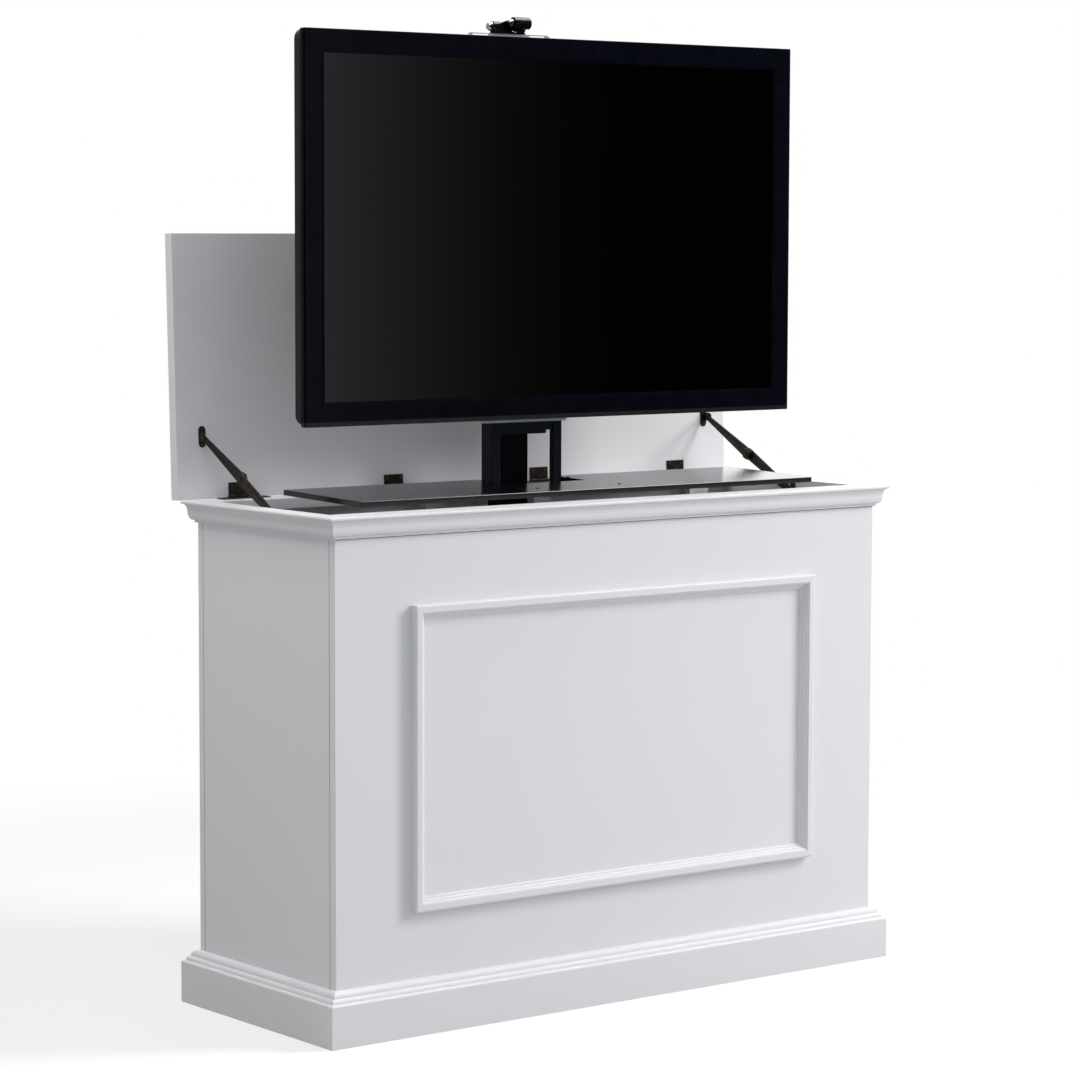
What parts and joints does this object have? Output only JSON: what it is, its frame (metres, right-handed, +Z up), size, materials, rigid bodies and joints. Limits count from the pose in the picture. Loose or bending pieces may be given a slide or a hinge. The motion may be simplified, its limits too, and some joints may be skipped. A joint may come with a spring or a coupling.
{
  "type": "tv lift cabinet",
  "caption": "White moulded cabinet with a hinged lid on folding stays and a telescoping lift that raises a flat television out of the top.",
  "frame": {"origin": "On the floor under the middle of the cabinet, at the middle of the centre floor runner.", "axes": "+X to the right seen from the front, +Y to the back, +Z up. The front of the cabinet and the screen face -Y."},
  "size_m": [1.27, 0.5147, 1.754],
  "materials": {
    "painted_wood": "satin",
    "bronze_steel": "satin",
    "black_steel": "satin",
    "zinc_steel": "satin",
    "chrome_steel": "polished",
    "black_plastic": "matte",
    "gloss_black": "gloss",
    "grey_plastic": "satin",
    "roller_plastic": "matte"
  },
  "bodies": {
    "cabinet": {"front_panel": "painted_wood", "back_panel": "painted_wood", "side_panel_left": "painted_wood", "side_panel_right": "painted_wood", "bottom_panel": "painted_wood", "floor_runners": "painted_wood", "back_posts": "painted_wood", "top_rail_front": "painted_wood", "top_rail_rear": "painted_wood", "top_rail_left": "painted_wood", "top_rail_right": "painted_wood", "base_board_front": "painted_wood", "base_board_rear": "painted_wood", "base_board_left": "painted_wood", "base_board_right": "painted_wood", "crown_front": "painted_wood", "crown_rear": "painted_wood", "crown_left": "painted_wood", "crown_right": "painted_wood", "panel_moulding_top": "painted_wood", "panel_moulding_bottom": "painted_wood", "panel_moulding_left": "painted_wood", "panel_moulding_right": "painted_wood", "cable_grommet": "black_plastic", "hinge_rim_leaves": "bronze_steel", "hinge_pins": "bronze_steel", "stay_wall_plates": "bronze_steel", "lift_foot": "black_steel", "outer_column": "black_steel", "outer_glide": "black_plastic", "lift_drive": "black_steel", "control_box": "black_plastic", "power_inlet": "black_plastic"},
    "lid": {"lid_board": "painted_wood", "hinge_lid_leaves": "bronze_steel", "stay_lid_brackets": "bronze_steel"},
    "stay_upper_left": {"stay_upper_left": "bronze_steel"},
    "stay_upper_right": {"stay_upper_right": "bronze_steel"},
    "stay_lower_left": {"stay_lower_left": "bronze_steel"},
    "stay_lower_right": {"stay_lower_right": "bronze_steel"},
    "middle_stage": {"middle_column": "black_steel", "middle_glide": "black_plastic"},
    "carriage": {"inner_column": "black_steel", "carriage_rails": "black_steel", "carriage_bars": "black_steel", "carriage_head": "black_steel", "mount_plate": "zinc_steel", "mount_arms": "black_steel", "shelf_board": "gloss_black", "shelf_feet": "black_steel", "tv_bezel": "gloss_black", "tv_screen": "gloss_black", "tv_trim": "grey_plastic", "tv_rear_cover": "black_plastic", "roller_plate": "zinc_steel", "roller_bracket": "black_steel", "roller_axles": "chrome_steel"},
    "roller_rear": {"roller_rear": "roller_plastic"},
    "roller_front": {"roller_front": "roller_plastic"}
  },
  "joints": [
    {"name": "lid_hinge", "type": "hinge", "parent": "cabinet", "child": "lid", "pos_m": [0, 0.238, 0.896], "axis": [1, 0, 0], "range_deg": [0, 14]},
    {"name": "lift_lower", "type": "slide", "parent": "cabinet", "child": "middle_stage", "axis": [0, 0, 1], "range_m": [-0.43, 0]},
    {"name": "lift_upper", "type": "slide", "parent": "middle_stage", "child": "carriage", "axis": [0, 0, 1], "range_m": [-0.43, 0]},
    {"name": "roller_rear_spin", "type": "hinge", "parent": "carriage", "child": "roller_rear", "pos_m": [-0.02875, 0.117, 1.7365], "axis": [1, 0, 0], "continuous": true},
    {"name": "roller_front_spin", "type": "hinge", "parent": "carriage", "child": "roller_front", "pos_m": [0.014, 0.098, 1.743], "axis": [1, 0, 0], "continuous": true},
    {"name": "stay_upper_left_pivot", "type": "hinge", "parent": "lid", "child": "stay_upper_left", "pos_m": [-0.584, 0.23577, 1.00414], "axis": [1, 0, 0], "range_deg": [0, 12.3]},
    {"name": "stay_knuckle_left", "type": "hinge", "parent": "stay_upper_left", "child": "stay_lower_left", "pos_m": [-0.584, 0.11264, 0.93757], "axis": [1, 0, 0], "range_deg": [-48.5, 0]},
    {"name": "stay_upper_right_pivot", "type": "hinge", "parent": "lid", "child": "stay_upper_right", "pos_m": [0.584, 0.23577, 1.00414], "axis": [1, 0, 0], "range_deg": [0, 12.3]},
    {"name": "stay_knuckle_right", "type": "hinge", "parent": "stay_upper_right", "child": "stay_lower_right", "pos_m": [0.584, 0.11264, 0.93757], "axis": [1, 0, 0], "range_deg": [-48.5, 0]}
  ],
  "couplings": [
    {"joint": "lift_upper", "follows": "lift_lower", "ratio": 1},
    {"joint": "stay_upper_left_pivot", "follows": "lid_hinge", "ratio": 0.8737},
    {"joint": "stay_knuckle_left", "follows": "lid_hinge", "ratio": -3.4553},
    {"joint": "stay_upper_right_pivot", "follows": "lid_hinge", "ratio": 0.8737},
    {"joint": "stay_knuckle_right", "follows": "lid_hinge", "ratio": -3.4553}
  ]
}
